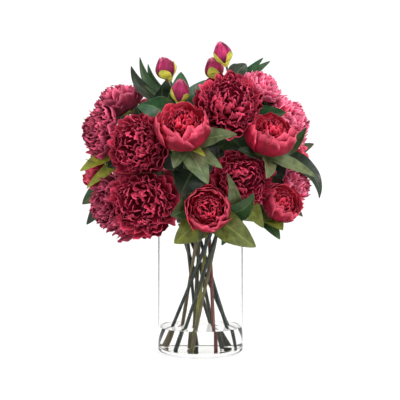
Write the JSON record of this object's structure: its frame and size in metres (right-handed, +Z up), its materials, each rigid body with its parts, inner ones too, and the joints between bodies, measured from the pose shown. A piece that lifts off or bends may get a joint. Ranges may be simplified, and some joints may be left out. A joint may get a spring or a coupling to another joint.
{
  "type": "peonies in a glass vase",
  "caption": "A round bouquet of crimson peonies with closed buds and pointed green leaves, standing on crossed stems in a clear glass cylinder vase with a little water.",
  "frame": {"origin": "centre of the vase's flat underside", "axes": "+Z up along the vase's axis, -Y towards the viewer of the arrangement's front, +X to the viewer's right"},
  "size_m": [0.4465, 0.422, 0.5849],
  "materials": {
    "vase_glass": "gloss",
    "water": "gloss",
    "foliage": "satin",
    "ruffled_petal": "matte",
    "cup_petal": "matte",
    "bud_petal": "satin"
  },
  "bodies": {
    "root": {"bloom_back_high": "cup_petal", "bloom_back_left_high": "ruffled_petal", "bloom_back_left_low": "cup_petal", "bloom_back_low": "ruffled_petal", "bloom_back_right_high": "ruffled_petal", "bloom_back_right_low": "ruffled_petal", "bloom_front_high": "cup_petal", "bloom_front_left": "ruffled_petal", "bloom_front_low": "cup_petal", "bloom_front_right": "cup_petal", "bloom_front_right_low": "ruffled_petal", "bloom_left": "ruffled_petal", "bloom_left_high": "ruffled_petal", "bloom_left_low": "ruffled_petal", "bloom_left_low_front": "ruffled_petal", "bloom_left_small": "cup_petal", "bloom_right": "ruffled_petal", "bloom_right_back_small": "cup_petal", "bloom_right_high": "ruffled_petal", "bloom_right_low": "ruffled_petal", "bloom_right_low_small": "cup_petal", "bloom_right_top": "ruffled_petal", "bloom_top": "ruffled_petal", "bud_front_high": "bud_petal", "bud_front_left": "bud_petal", "bud_highest": "bud_petal", "bud_left_high": "bud_petal", "stem_back_left": "foliage", "stem_back_right": "foliage", "stem_front": "foliage", "stem_front_high": "foliage", "stem_front_left": "foliage", "stem_front_right": "foliage", "stem_left": "foliage", "stem_left_high": "foliage", "stem_left_low": "foliage", "stem_right_back": "foliage", "stem_right_high": "foliage", "stem_right_low": "foliage", "vase": "vase_glass", "water": "water"}
  },
  "joints": []
}
